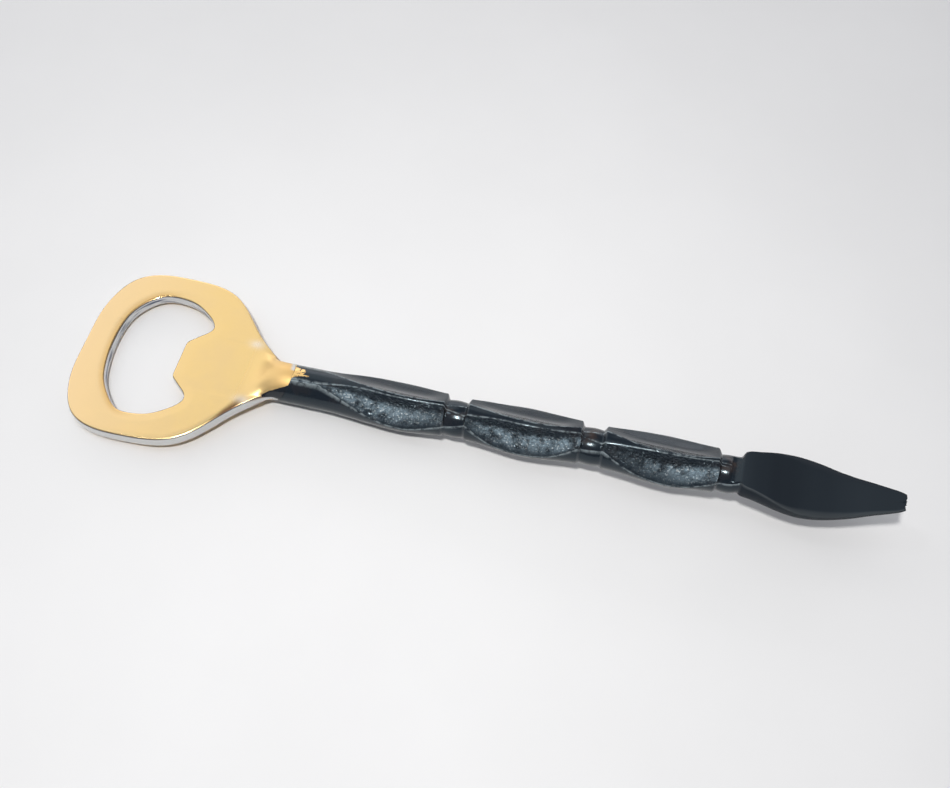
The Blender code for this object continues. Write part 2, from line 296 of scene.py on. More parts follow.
@dataclass
class OpenerHead:
    """The cast head: a flat ring with a cap lip, which swells into the round neck, and its tang."""

    half_thickness: float = 1.5
    edge_round: float = 0.5
    neck_start: float = 37.5
    neck_end: float = 48.5
    neck_depth: float = 0.6
    neck_half_width: float = 7.6
    plate_fades_from: float = 44.0
    joint_leans_from: float = 44.5
    hole_dish: float = 0.16
    rim_dish: float = 0.05
    wall_bulge: float = 0.1
    wall_columns: int = 4
    tang_radius: float = 1.7
    tang_end: float = 84.0
    spokes: tuple[tuple[float, float, float, float], ...] = (
        (6.3, 0.0, 0.0, 0.0), (6.6, 4.5, 0.1, 7.3), (7.6, 8.9, 1.6, 14.1), (10.4, 13.3, 5.4, 19.85),
        (14.0, 15.9, 11.2, 22.2), (18.0, 16.2, 18.0, 22.5), (22.0, 15.35, 24.4, 22.1),
        (25.4, 13.3, 29.3, 20.7), (27.6, 11.2, 32.6, 18.5), (28.1, 9.9, 35.3, 15.8),
        (27.6, 8.8, 38.0, 12.6), (26.0, 7.3, 40.6, 9.7), (24.3, 5.8, 43.4, 7.15), (23.45, 4.8, 46.0, 5.25),
        (23.3, 3.8, 47.6, 4.68), (23.3, 2.0, 49.3, NECK_RADIUS), (23.3, 0.0, 49.3, 0.0),
    )
    spoke_step: float = 0.24

    def half_lines(self) -> tuple[np.ndarray, np.ndarray]:
        """Return matching points round half of the opening and half of the rim, far edge to neck.

        Returns:
            Points on the opening, and as many on the rim.
        """
        spokes = np.array(self.spokes)
        hole = SmoothLine(spokes[:, :2], (0.0, 1.0), (0.0, -1.0))
        rim = SmoothLine(spokes[:-1, 2:], (0.0, 1.0), (1.0, 0.0))
        lengths = np.maximum(np.linalg.norm(np.diff(spokes[:, :2], axis=0), axis=1),
                             np.linalg.norm(np.diff(spokes[:, 2:], axis=0), axis=1))
        counts = np.ceil(lengths / self.spoke_step).astype(int)
        share = np.concatenate([index + np.arange(count) / count for index, count in enumerate(counts)])
        share = np.append(share, len(counts))
        index = np.arange(len(spokes))
        hole_points = hole.at(np.interp(share, index, hole.stations))
        rim_station = np.interp(share, index[:-1], rim.stations)
        rim_points = rim.at(rim_station)
        end_cap = share > index[-2]
        rim_points[end_cap] = [JOINT_X, 0.0]
        rim_points[end_cap, 1] = NECK_RADIUS * (index[-1] - share[end_cap])
        return hole_points, rim_points

    def height(self, place: np.ndarray, edges: Sequence[np.ndarray]) -> tuple[np.ndarray, np.ndarray]:
        """Return the surface's height over the middle plane, and the distance to the nearest edge.

        The plate is level but for a quarter-ellipse round at its edges, and thins out under the neck.
        The neck is an oblong that turns into a circle, z = H sqrt(1 - (y / W)^2).

        Args:
            place: flat places on the plate.
            edges: the opening's and the rim's polylines.

        Returns:
            The heights, and the distances.
        """
        along, across = place[:, 0], place[:, 1]
        from_hole, from_rim = (distance_to(place, line) for line in edges)
        edge = np.minimum(from_hole, from_rim)
        fade = 1.0 - ease((along - self.plate_fades_from) / (self.neck_end - self.plate_fades_from))
        wall = self.half_thickness - self.edge_round
        rise = np.sqrt(1.0 - (1.0 - np.clip(edge / self.edge_round, 0.0, 1.0)) ** 2)
        dish = self.hole_dish * (1.0 - ease(from_hole / 2.4)) + self.rim_dish * (1.0 - ease(from_rim / 1.6))
        plate = (wall + self.edge_round * rise - dish) * fade
        share = ease((along - self.neck_start) / (self.neck_end - self.neck_start))
        high = -self.neck_depth + (NECK_RADIUS + self.neck_depth) * share
        wide = self.neck_half_width + (NECK_RADIUS - self.neck_half_width) * share
        neck = high * np.sqrt(np.clip(1.0 - (across / wide) ** 2, 0.0, 1.0))
        return soft_maximum(plate, neck, 0.05 + 1.75 * fade), edge

    def ring(self) -> Shell:
        """Make the plate and neck: a grid that runs round the opening one way and round the bar the other.

        Returns:
            The closed surface, cut on a slant at the joint.
        """
        hole, rim = self.half_lines()
        mirror = np.array([1.0, -1.0])
        hole = np.vstack([hole, hole[-2:0:-1] * mirror])
        rim = np.vstack([rim, rim[-2:0:-1] * mirror])
        # The opening's far wall is not quite square to the handle, as it was filed by hand.
        hole[:, 0] += (0.4 - 0.06 * hole[:, 1]) * (1.0 - ease((hole[:, 0] - 8.0) / 10.0))
        loop = np.vstack([hole, hole[:1]])
        # The rim's edge is open at the joint, so its line starts after that gap.
        edge_line = rim[rim[:, 0] < JOINT_X - 1e-6]
        turn = np.argmax(np.linalg.norm(np.diff(edge_line, axis=0), axis=1)) + 1
        edge_line = np.roll(edge_line, -turn, axis=0)
        reach = np.linalg.norm(rim - hole, axis=1)[:, None]
        # Columns stand close together over the rounded edges and evenly apart between them.
        near = np.array([0.0, 0.04, 0.12, 0.22, 0.34, 0.48, 0.6])
        middle = np.linspace(0.0, 1.0, 30)[1:-1]
        step = np.hstack([np.repeat(near[None], len(reach), 0), near[-1] + (reach - 2 * near[-1]) * middle,
                          reach - near[::-1]]) / reach
        flat = hole[:, None, :] * (1.0 - step[..., None]) + rim[:, None, :] * step[..., None]
        rows, columns = flat.shape[:2]
        height, edge = self.height(flat.reshape(-1, 2), (loop, edge_line))
        height, edge = height.reshape(rows, columns), edge.reshape(rows, columns)
        top = np.dstack([flat, height])
        under = np.dstack([flat, -height])[:, ::-1]
        wall_share = np.array([0.6, 0.2, -0.2, -0.6])
        outer = np.repeat(top[:, -1:], self.wall_columns, axis=1)
        outer[..., 2] *= wall_share
        inner = np.repeat(top[:, :1], self.wall_columns, axis=1)
        inner[..., 2] *= -wall_share
        bulge = self.wall_bulge * (1.0 - wall_share ** 2)[:, None] * ((hole - rim) / reach)[:, None, :]
        inner[..., :2] += bulge
        points = np.concatenate([top, outer, under, inner], axis=1)
        from_hole = distance_to(flat.reshape(-1, 2), loop).reshape(rows, columns)
        blank = np.zeros((rows, self.wall_columns))
        far = np.full_like(blank, reach.max())
        wash_edge = np.concatenate([edge, blank, edge[:, ::-1], blank], axis=1)
        hole_edge = np.concatenate([from_hole, far, from_hole[:, ::-1], far], axis=1)
        columns = points.shape[1]
        points = points.reshape(-1, 3)
        masks = self.masks(points, wash_edge.reshape(-1), hole_edge.reshape(-1))
        masks["hole_wall"] = np.tile(np.arange(columns) >= columns - self.wall_columns, rows).astype(float)
        lean = ease((points[:, 0] - self.joint_leans_from) / (JOINT_X - self.joint_leans_from))
        points[:, 0] += (JOINT_SLOPE * points[:, 2] - HAIRLINE) * lean
        faces = outward(points, [tuple(face) for face in grid_faces(rows, columns, True).tolist()])
        return Shell(points, faces, masks)

    def masks(self, points: np.ndarray, edge: np.ndarray, from_hole: np.ndarray) -> dict[str, np.ndarray]:
        """Return the masks of the wash, of its painted highlights and painted shade, and of its stained places,
        and the places along and round.

        The painted highlight is a pair of soft spots exp(-(dx / a)^2 - (dy / b)^2) where the ring flares into
        the neck.

        Args:
            points: the points, before the joint is slanted.
            edge: distance to the nearest edge.
            from_hole: distance to the opening.

        Returns:
            An array for each point attribute.
        """
        along, across, high = points.T
        # Painted highlight: two pale spots where the ring flares into the neck.
        neck_highlight = sum(np.exp(-((along - x) / 1.7) ** 2 - ((across - y) / 1.1) ** 2)
                    for x, y in ((39.9, 7.7), (41.2, -7.5)))
        stain_edge = 1.0 - ease((edge - 0.15) / np.clip(0.45 * (along - 34.5), 0.2, 2.3))
        stain = stain_edge * ease((along - 34.5) / 4.0) * ease((42.0 - along) / 2.0) * (across < 0.0)
        # Painted shade: a darker amber band round the far part of the opening's rounded edge.
        opening_shade_band = (1.0 - ease(from_hole / 1.9)) * (1.0 - ease((along - 12.0) / 8.0))
        fade = 1.0 - ease((points[:, 0] - 42.0) / 5.0)
        on_plate = ease((edge - 0.1) / 0.14) * ease((np.abs(points[:, 2]) - 1.0) / 0.2)
        on_neck = ease((np.abs(points[:, 2]) - 0.5) / 0.9)
        return {
            "neck_highlight": neck_highlight * (high > 0.0),
            "stain": stain * (high > 0.0),
            "opening_shade": opening_shade_band,
            "wash": on_plate * fade + on_neck * (1.0 - fade),
            "along": points[:, 0].copy(),
            "from_top": np.degrees(np.arctan2(-points[:, 1], points[:, 2])),
        }

    def tang(self) -> Shell:
        """Make the tang: a plain rod with a rounded end, from inside the neck into the handle's bore.

        Returns:
            The closed rod.
        """
        sides = 32
        around = np.linspace(0.0, 2.0 * math.pi, sides + 1)[:-1]
        stations = np.array([46.0, 46.0, 60.0, self.tang_end - 0.6, self.tang_end - 0.15, self.tang_end])
        radii = self.tang_radius * np.array([0.5, 1.0, 1.0, 1.0, 0.85, 0.5])
        grid = np.stack([np.repeat(stations[:, None], sides, 1), radii[:, None] * np.cos(around),
                         radii[:, None] * np.sin(around)], axis=-1).reshape(-1, 3)
        poles = np.array([[stations[0], 0.0, 0.0], [stations[-1], 0.0, 0.0]])
        points = np.vstack([grid, poles])
        masks = {"along": np.zeros(len(points)), "from_top": np.full(len(points), 180.0)}
        return Shell(points, outward(points, turned_faces(len(stations), sides)), masks)

    def make(self, pose: RestingPose, material: bpy.types.Material) -> bpy.types.Object:
        """Build the head in its place and dress it.

        Args:
            pose: where the design frame lies.
            material: the gold wash.

        Returns:
            The head's object.
        """
        name, node, slot = Piece.HEAD.value
        item = self.ring().joined(self.tang()).build(name, pose)
        item.data.materials.append(material)
        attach(item, BODY)
        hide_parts(node)
        return item


# ---------------------------------------------------------------------------------------------- handle

@dataclass(frozen=True)
class Segment:
    """One carved segment: its stations, radii and the angles of its four scooped flats.

    Angles are degrees round the section, from the near side up over the top. Each list is read at the
    start, at a quarter, half and three quarters of the length, and at the end.
    """

    start: float
    fullest: float
    end: float
    radii: tuple[float, float, float]
    front_low: tuple[float, ...]
    front_high: tuple[float, ...]
    back_low: tuple[float, ...]
    back_high: tuple[float, ...]
    under_half: tuple[float, ...]
    scoop: float
    # Shares of painted glint along the near scoop, read at the five marks.
    glints: tuple[float, ...]

    def radius(self, along: np.ndarray) -> np.ndarray:
        """Return the round section's radius: it eases up to the fullest station and down again.

        Args:
            along: stations along the handle's axis, in millimetres.

        Returns:
            One radius for each station.
        """
        rise = ease((along - self.start) / (self.fullest - self.start))
        fall = ease((along - self.fullest) / (self.end - self.fullest))
        first, middle, last = self.radii
        return first + (middle - first) * rise + (last - middle) * fall

    def edges(self, along: np.ndarray) -> np.ndarray:
        """Return the four flats' eight edge angles at each station, from underneath round the near side.

        Args:
            along: stations along the handle's axis, in millimetres.

        Returns:
            Eight angles in degrees for each station.
        """
        share = (along - self.start) / (self.end - self.start)
        marks = np.linspace(0.0, 1.0, 5)
        under = np.interp(share, marks, self.under_half)
        near_under, far_under = -62.0, 242.0
        columns = [near_under - under, near_under + under]
        columns += [smooth_read(share, marks, values)
                    for values in (self.front_low, self.front_high, self.back_low, self.back_high)]
        columns += [far_under - under, far_under + under]
        return np.stack(columns, axis=1)


def smooth_read(share: np.ndarray, marks: np.ndarray, values: Sequence[float]) -> np.ndarray:
    """Read values between marks along one smooth curve (a clamped cubic spline), held beyond the ends.

    The values are scaled down so far that the line's length is that of its marks.

    Args:
        share: where to read, from 0 to 1.
        marks: where the values stand.
        values: one value for each mark.

    Returns:
        One value for each share.
    """
    values, small = np.array(values), 1e-6
    start = (values[1] - values[0]) / (marks[1] - marks[0])
    end = (values[-1] - values[-2]) / (marks[-1] - marks[-2])
    line = SmoothLine(np.stack([marks, values * small], axis=1), (1.0, start * small), (1.0, end * small))
    return line.at(np.clip(share, 0.0, 1.0) * line.stations[-1])[:, 1] / small


@dataclass
class CarvedHandle:
    """The black handle: three scooped segments, three turned collars and a leaf tip, in one piece."""

    bore_radius: float = 2.8
    bore_end: float = 86.0
    collar_radius: float = 4.2
    collar_bead: float = 0.3
    collar_shift: tuple[float, float] = (0.28, 0.22)
    shoulder_fade: float = 5.0
    tip_face_angle: float = 85.0
    deepest: float = 0.38
    station_step: float = 0.33
    flat_columns: tuple[int, ...] = (22, 9, 42, 7, 42, 9, 22, 7)
    segments: tuple[Segment, ...] = (
        Segment(58.0, 77.0, 87.2, (4.6, 5.75, 4.95), (72.0, 37.0, 6.0, -1.0, 24.0),
                (76.0, 86.0, 81.0, 80.0, 86.0), (132.0, 104.0, 89.0, 86.0, 97.0),
                (136.0, 150.0, 168.0, 171.0, 155.0), (1.0, 12.0, 24.0, 26.0, 18.0), 0.85,
                (0.7, 1.0, 1.0, 0.75, 0.25)),
        Segment(92.2, 105.5, 118.3, (4.75, 5.8, 4.85), (43.0, -1.0, -8.0, 0.0, 44.0),
                (72.0, 76.0, 74.0, 77.0, 86.0), (110.0, 92.0, 84.0, 88.0, 105.0),
                (140.0, 168.0, 174.0, 168.0, 146.0), (9.0, 24.0, 27.0, 24.0, 12.0), 0.9,
                (0.2, 0.75, 1.0, 1.0, 0.7)),
        Segment(123.3, 138.0, 148.8, (4.75, 5.85, 4.95), (50.0, 10.0, -9.0, -8.0, 24.0),
                (73.0, 75.5, 75.0, 77.0, 85.0), (114.0, 88.0, 79.5, 81.0, 95.0),
                (142.0, 162.0, 174.0, 172.0, 155.0), (9.0, 22.0, 27.0, 26.0, 18.0), 0.85,
                (0.0, 0.15, 0.55, 0.9, 0.8)),
    )
    tip_radii: tuple[tuple[float, float], ...] = (
        (153.8, 4.55), (154.6, 4.95), (157.0, 5.35), (160.0, 5.9), (163.5, 6.45), (167.0, 6.7), (171.0, 6.3),
        (175.0, 5.45), (179.0, 4.5), (182.5, 3.6), (186.0, 2.75), (188.0, 2.2), (188.9, 1.8),
    )
    tip_face: tuple[tuple[float, float], ...] = (
        (153.8, 2.9), (159.5, 2.3), (163.0, 1.5), (167.0, 0.75), (171.0, 0.6), (178.0, 0.45), (188.9, 0.3),
    )
    tip_spine: tuple[tuple[float, float], ...] = (
        (151.5, 0.0), (155.0, 0.9), (159.0, 0.75), (163.0, 0.35), (167.0, 0.0), (171.0, -0.3),
        (175.0, -0.35), (178.5, 0.1), (182.0, 1.0), (186.0, 1.85), (188.9, 2.48),
    )

    def collars(self) -> list[tuple[float, float]]:
        """Return the start and end of each collar's groove.

        Returns:
            A pair of stations for each collar.
        """
        ends = [segment.end for segment in self.segments]
        starts = [segment.start for segment in self.segments[1:]] + [self.tip_radii[0][0]]
        return list(zip(ends, starts))

    def stations(self) -> np.ndarray:
        """Return the rows' stations: evenly spaced, and closer at the collars' shoulders.

        Returns:
            The stations in order.
        """
        even = np.arange(JOINT_X + HAIRLINE, self.tip_radii[-1][0], self.station_step)
        fine = [np.linspace(edge - 0.7, edge + 0.7, 15) for pair in self.collars() for edge in pair]
        end = self.tip_radii[-1][0] - np.array([0.3, 0.15, 0.0])
        return np.unique(np.round(np.concatenate([even, *fine, end]), 3))

    def body_radius(self, along: np.ndarray) -> np.ndarray:
        """Return the round section's radius over the whole handle, collars and tip included.

        Args:
            along: stations along the handle's axis, in millimetres.

        Returns:
            One radius for each station.
        """
        tip_stations, tip_values = np.array(self.tip_radii).T
        tip = smooth_table(along, tip_stations, tip_values)
        radius = np.zeros_like(along)
        for index, segment in enumerate(self.segments):
            last = self.segments[index - 1].end if index else 0.0
            middle = 0.5 * (last + segment.start) if index else 0.0
            after = 0.5 * (segment.end + self.collars()[index][1])
            radius = np.where((along >= middle) & (along < after), segment.radius(along), radius)
        tip_start = 0.5 * (self.segments[-1].end + tip_stations[0])
        return np.where(along >= tip_start, tip, radius)

    def grooved(self, along: np.ndarray, radius: np.ndarray) -> np.ndarray:
        """Return the radius with the collars' grooves, whose beads are fuller at their middles.

        Args:
            along: stations along the handle's axis, in millimetres.
            radius: the radius without grooves.

        Returns:
            The radius with grooves.
        """
        for start, end in self.collars():
            centre, half = 0.5 * (start + end), 0.5 * (end - start)
            groove = self.collar_radius - self.collar_bead * np.minimum(((along - centre) / half) ** 2, 1.0)
            radius = radius + (groove - radius) * self.in_collar(along, start, end)
        return radius

    def in_collar(self, along: np.ndarray, start: float, end: float) -> np.ndarray:
        """Return 1 inside a collar's groove and 0 outside it, eased over its shoulders."""
        return ease((0.5 * (end - start) + 0.5 - np.abs(along - 0.5 * (start + end))) / 1.0)

    def edge_angles(self, along: np.ndarray) -> np.ndarray:
        """Return the flats' eight edge angles at every station, carried smoothly across the collars.

        Args:
            along: stations along the handle's axis, in millimetres.

        Returns:
            Eight angles in degrees for each station.
        """
        spans = [(segment.start, segment.end, segment.edges) for segment in self.segments]
        spans.append((self.tip_radii[0][0], self.tip_radii[-1][0], self.tip_edges))
        known_at = [np.linspace(start, end, 60) for start, end, _ in spans]
        known = [edges(inside) for inside, (_, _, edges) in zip(known_at, spans)]
        stations, angles = np.concatenate(known_at), np.vstack(known)
        return np.stack([np.interp(along, stations, angles[:, column]) for column in range(8)], axis=1)

    def tip_edges(self, along: np.ndarray) -> np.ndarray:
        """Return edge angles on the tip, whose one upper face spans from the third edge to the sixth.

        Args:
            along: stations along the handle's axis, in millimetres.

        Returns:
            Eight angles in degrees for each station.
        """
        radius = smooth_table(along, *np.array(self.tip_radii).T)
        face = smooth_table(along, *np.array(self.tip_face).T)
        half = np.degrees(np.arccos(np.clip(face / radius, 0.0, 1.0)))
        middle = np.full_like(along, self.tip_face_angle)
        return np.stack([np.full_like(along, -84.0), np.full_like(along, -44.0), middle - half,
                         np.full_like(along, 76.0), np.full_like(along, 86.0), middle + half,
                         np.full_like(along, 222.0), np.full_like(along, 262.0)], axis=1)

    def column_angles(self, edges: np.ndarray) -> np.ndarray:
        """Spread the columns between the edge angles, so that every edge is a column of the grid.

        Args:
            edges: the eight edge angles at each station.

        Returns:
            Every column's angle at each station.
        """
        closed = np.hstack([edges, edges[:, :1] + 360.0])
        parts = []
        for index, count in enumerate(self.flat_columns):
            share = np.arange(count) / count
            parts.append(closed[:, index:index + 1] * (1.0 - share) + closed[:, index + 1:index + 2] * share)
        return np.hstack(parts)

    def scooped(self, along: np.ndarray, angle: np.ndarray, edges: np.ndarray,
                radius: np.ndarray) -> tuple[np.ndarray, np.ndarray]:
        """Return the carved section's radius and how deep in a scoop each point lies, from 0 to 1.

        A flat between edge angles c - w and c + w is the chord r cos w / cos(t - c), and its scoop
        takes away a further share d (w / 40)^2 (1 - ((t - c) / w)^2) of a millimetre.

        Args:
            along: stations along the handle's axis, in millimetres.
            angle: every column's angle.
            edges: the eight edge angles.
            radius: the radius without grooves.

        Returns:
            The radii and the depths, row by row.
        """
        carved = np.repeat(self.grooved(along, radius)[:, None], angle.shape[1], axis=1)
        depth = np.zeros_like(carved)
        on_segment = np.zeros(len(along))
        scoop = np.zeros(len(along))
        for segment in self.segments:
            inside = (along >= segment.start - 0.15) & (along <= segment.end + 0.3)
            on_segment[inside] = 1.0
            ends = (ease((along - segment.start) / self.shoulder_fade)
                    * ease((segment.end - along) / self.shoulder_fade))
            scoop[inside] = (segment.scoop * ends)[inside]
        for low in range(0, 8, 2):
            middle = 0.5 * (edges[:, low] + edges[:, low + 1])[:, None]
            half = 0.5 * (edges[:, low + 1] - edges[:, low])[:, None]
            off = angle - middle
            off = np.where(off > 180.0, off - 360.0, off)
            inside = (np.abs(off) <= half + 1e-9) & (on_segment[:, None] > 0.5)
            spot = np.clip(off / np.maximum(half, 1e-6), -1.0, 1.0)
            chord = radius[:, None] * np.cos(np.radians(half)) / np.cos(np.radians(np.clip(off, -80.0, 80.0)))
            bowl = self.near_bowl(spot) if low == 2 else 1.0 - spot ** 2
            hollow = 1.3 * scoop[:, None] if low == 2 else 0.45 * scoop[:, None]
            cut = chord - hollow * (half / 40.0) ** 2 * bowl
            carved = np.where(inside, np.minimum(carved, cut), carved)
            depth = np.where(inside, np.clip(bowl, 0.0, 1.0) * np.minimum(half / 20.0, 1.0), depth)
        return carved, depth

    def near_bowl(self, spot: np.ndarray) -> np.ndarray:
        """Return the near scoop's depth from 0 to 1: steep under its upper edge, flatter below.

        With t rising from 0 at either edge to 1 at the deepest line, the depth is 1 - (1 - t)^1.6.

        Args:
            spot: places across the scoop, from -1 to 1.

        Returns:
            The depths.
        """
        share = np.where(spot < self.deepest, (spot + 1.0) / (1.0 + self.deepest),
                         (1.0 - spot) / (1.0 - self.deepest))
        return 1.0 - (1.0 - np.clip(share, 0.0, 1.0)) ** 1.6

    def tip_section(self, along: np.ndarray, angle: np.ndarray, radius: np.ndarray) -> np.ndarray:
        """Return the tip's section: a circle cut by its upper face, f / cos(t - c) where that is less.

        Args:
            along: stations along the handle's axis, in millimetres.
            angle: every column's angle.
            radius: the tip's round radius.

        Returns:
            The radii, row by row.
        """
        face = smooth_table(along, *np.array(self.tip_face).T)[:, None]
        off = np.radians(angle - self.tip_face_angle)
        facing = np.cos(off)
        cut = np.where(facing > 0.02, face / np.maximum(facing, 0.02), 1e3)
        return np.minimum(radius[:, None], cut)

    def tool_marks(self, along: np.ndarray, angle: np.ndarray, depth: np.ndarray) -> np.ndarray:
        """Return the shallow dents that the carving tool left in the scoops, in millimetres.

        They are a sum of crossing waves of 1 to 3 mm, whose crests are rounded by a sine.

        Args:
            along: stations along the handle's axis, in millimetres.
            angle: every column's angle.
            depth: how deep in a scoop each point lies.

        Returns:
            What to add to the radii.
        """
        around = np.radians(angle) * 5.0
        station = along[:, None]
        waves = (np.sin(2.3 * station + 1.1 * np.sin(1.7 * around + 0.6 * station))
                 + np.sin(1.1 * station - 3.1 * around + 1.3 * np.sin(0.9 * station))
                 + 0.7 * np.sin(4.1 * station + 2.6 * around + 2.0 * np.sin(2.2 * around - station))
                 + 0.6 * np.sin(3.4 * station - 4.4 * around + 1.7 * np.sin(1.3 * station + around)))
        near_side = ease((100.0 - angle) / 12.0) * ease((angle + 40.0) / 12.0)
        return (0.001 + 0.017 * near_side) * waves * depth

    def outside(self) -> tuple[np.ndarray, dict[str, np.ndarray]]:
        """Return the outer grid's points, row by row, and its masks.

        Returns:
            The points, and an array for each point attribute.
        """
        along = self.stations()
        edges = self.edge_angles(along)
        angle = self.column_angles(edges)
        radius = self.body_radius(along)
        carved, depth = self.scooped(along, angle, edges, radius)
        on_tip = along >= 0.5 * (self.segments[-1].end + self.tip_radii[0][0])
        carved[on_tip] = self.tip_section(along, angle, self.grooved(along, radius))[on_tip]
        carved = carved + self.tool_marks(along, angle, depth)
        spine = smooth_table(along, *np.array(self.tip_spine).T) * ease((along - 151.0) / 3.0)
        turn = np.radians(angle)
        off_centre = sum(self.in_collar(along, start, end) for start, end in self.collars())[:, None]
        shift_across, shift_down = self.collar_shift
        points = np.stack([np.repeat(along[:, None], angle.shape[1], 1),
                           -carved * np.cos(turn) - shift_across * off_centre,
                           carved * np.sin(turn) + spine[:, None] - shift_down * off_centre], axis=-1)
        ragged = 0.25 * np.sin(5.0 * turn + 1.0) + 0.2 * np.sin(11.0 * turn)
        points[..., 0] -= np.abs(ragged) * ease((along[:, None] - 186.5) / 2.4)
        lean = 1.0 - ease((along[:, None] - JOINT_X) / 5.0)
        points[..., 0] += JOINT_SLOPE * points[..., 2] * lean
        near_scoop = depth * ease((100.0 - angle) / 20.0)
        masks = {
            "carve": near_scoop,
            # Ridge: wear and painted highlight on the edges between flats, and the painted crest highlight on
            # the tip.
            "ridge": self.ridge_mask(edges, angle, on_tip),
            "leaf": ease((along[:, None] - 153.4) / 0.8) * np.ones_like(depth),
            "groove": off_centre * np.ones_like(depth),
            # Painted glints: where the near scoops' colour is lightened to stand in for the lamp's highlights.
            "glint": near_scoop * self.glint_share(along, angle, edges),
            "along": points[..., 0],
            "from_top": (90.0 - angle + 180.0) % 360.0 - 180.0,
        }
        return points, masks

    def glint_share(self, along: np.ndarray, angle: np.ndarray, edges: np.ndarray) -> np.ndarray:
        """Return how strongly the painted glints lighten the near scoops' colour: most in their lower two
        thirds.

        Args:
            along: stations along the handle's axis, in millimetres.
            angle: every column's angle.
            edges: the eight edge angles.

        Returns:
            Shares from 0 to 1.
        """
        share = np.zeros(len(along))
        for segment in self.segments:
            inside = (along >= segment.start) & (along <= segment.end)
            spot = (along[inside] - segment.start) / (segment.end - segment.start)
            share[inside] = np.interp(spot, np.linspace(0.0, 1.0, 5), segment.glints)
        width = np.maximum(edges[:, 3] - edges[:, 2], 1e-6)[:, None]
        rise = (angle - edges[:, 2:3]) / width
        return share[:, None] * ease((0.86 - rise) / 0.4) * ease((rise + 0.1) / 0.2)

    def ridge_mask(self, edges: np.ndarray, angle: np.ndarray, on_tip: np.ndarray) -> np.ndarray:
        """Return 1 on the edges between flats, and on the tip on its near edge only, fading to 0 beside them.

        Args:
            edges: the eight edge angles.
            angle: every column's angle.
            on_tip: which stations are on the tip.

        Returns:
            Shares from 0 to 1.
        """
        closest = np.full(angle.shape, 360.0)
        for column in range(8):
            gap = np.abs((angle - edges[:, column:column + 1] + 180.0) % 360.0 - 180.0)
            closest = np.minimum(closest, gap)
        # On the tip the mask carries the painted highlight along the near crest.
        crest_highlight = 1.0 - ease(np.abs(angle - edges[:, 2:3]) / 1.2)
        return np.where(on_tip[:, None], crest_highlight, 1.0 - ease(closest / 2.2))

    def make(self, pose: RestingPose, material: bpy.types.Material) -> bpy.types.Object:
        """Build the handle with its blind bore, in its place, and dress it.

        Args:
            pose: where the design frame lies.
            material: the black lacquer.

        Returns:
            The handle's object.
        """
        outer, masks = self.outside()
        columns = outer.shape[1]
        turn = np.linspace(-0.5 * math.pi, 1.5 * math.pi, columns + 1)[:-1]
        stations = np.array([self.bore_end, self.bore_end, 70.0, 55.0, JOINT_X + HAIRLINE])
        radii = self.bore_radius * np.array([0.5, 1.0, 1.0, 1.0, 1.0])[:, None]
        inner = np.stack([np.repeat(stations[:, None], columns, 1), -radii * np.cos(turn),
                          radii * np.sin(turn)], axis=-1)
        inner[-1, :, 0] += JOINT_SLOPE * inner[-1, :, 2]
        grid = np.concatenate([inner, outer])
        end = outer[-1].mean(axis=0)
        poles = np.array([[self.bore_end, 0.0, 0.0], [end[0] - 0.1, end[1], end[2]]])
        points = np.vstack([grid.reshape(-1, 3), poles])
        in_bore = len(stations) * columns
        values = {name: np.concatenate([np.zeros(in_bore), mask.reshape(-1), [0.0, 0.0]])
                  for name, mask in masks.items()}
        values["along"][:in_bore] = self.bore_end
        values["from_top"][:in_bore] = 180.0
        values["along"][-2:] = LENGTH
        faces = outward(points, turned_faces(len(grid), columns))
        name, node, slot = Piece.HANDLE.value
        item = Shell(points, faces, values).build(name, pose)
        item.data.materials.append(material)
        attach(item, BODY)
        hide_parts(node)
        return item


def smooth_table(along: np.ndarray, stations: np.ndarray, values: np.ndarray) -> np.ndarray:
    """Read a short table of values with eased curves between its stations, held beyond its ends.

    Each span is a cubic Hermite curve whose end slopes are the mean of the neighbouring chords.

    Args:
        along: where to read.
        stations: the table's stations.
        values: the table's values.

    Returns:
        One value for each place.
    """
    chords = np.diff(values) / np.diff(stations)
    slopes = np.concatenate([chords[:1], 0.5 * (chords[1:] + chords[:-1]), chords[-1:]])
    clipped = np.clip(along, stations[0], stations[-1])
    left = np.clip(np.searchsorted(stations, clipped, side="right") - 1, 0, len(stations) - 2)
    gap = stations[left + 1] - stations[left]
    t = (clipped - stations[left]) / gap
    return ((2 * t ** 3 - 3 * t ** 2 + 1) * values[left] + (t ** 3 - 2 * t ** 2 + t) * gap * slopes[left]
            + (3 * t ** 2 - 2 * t ** 3) * values[left + 1] + (t ** 3 - t ** 2) * gap * slopes[left + 1])


# ------------------------------------------------------------------------------------------- materials

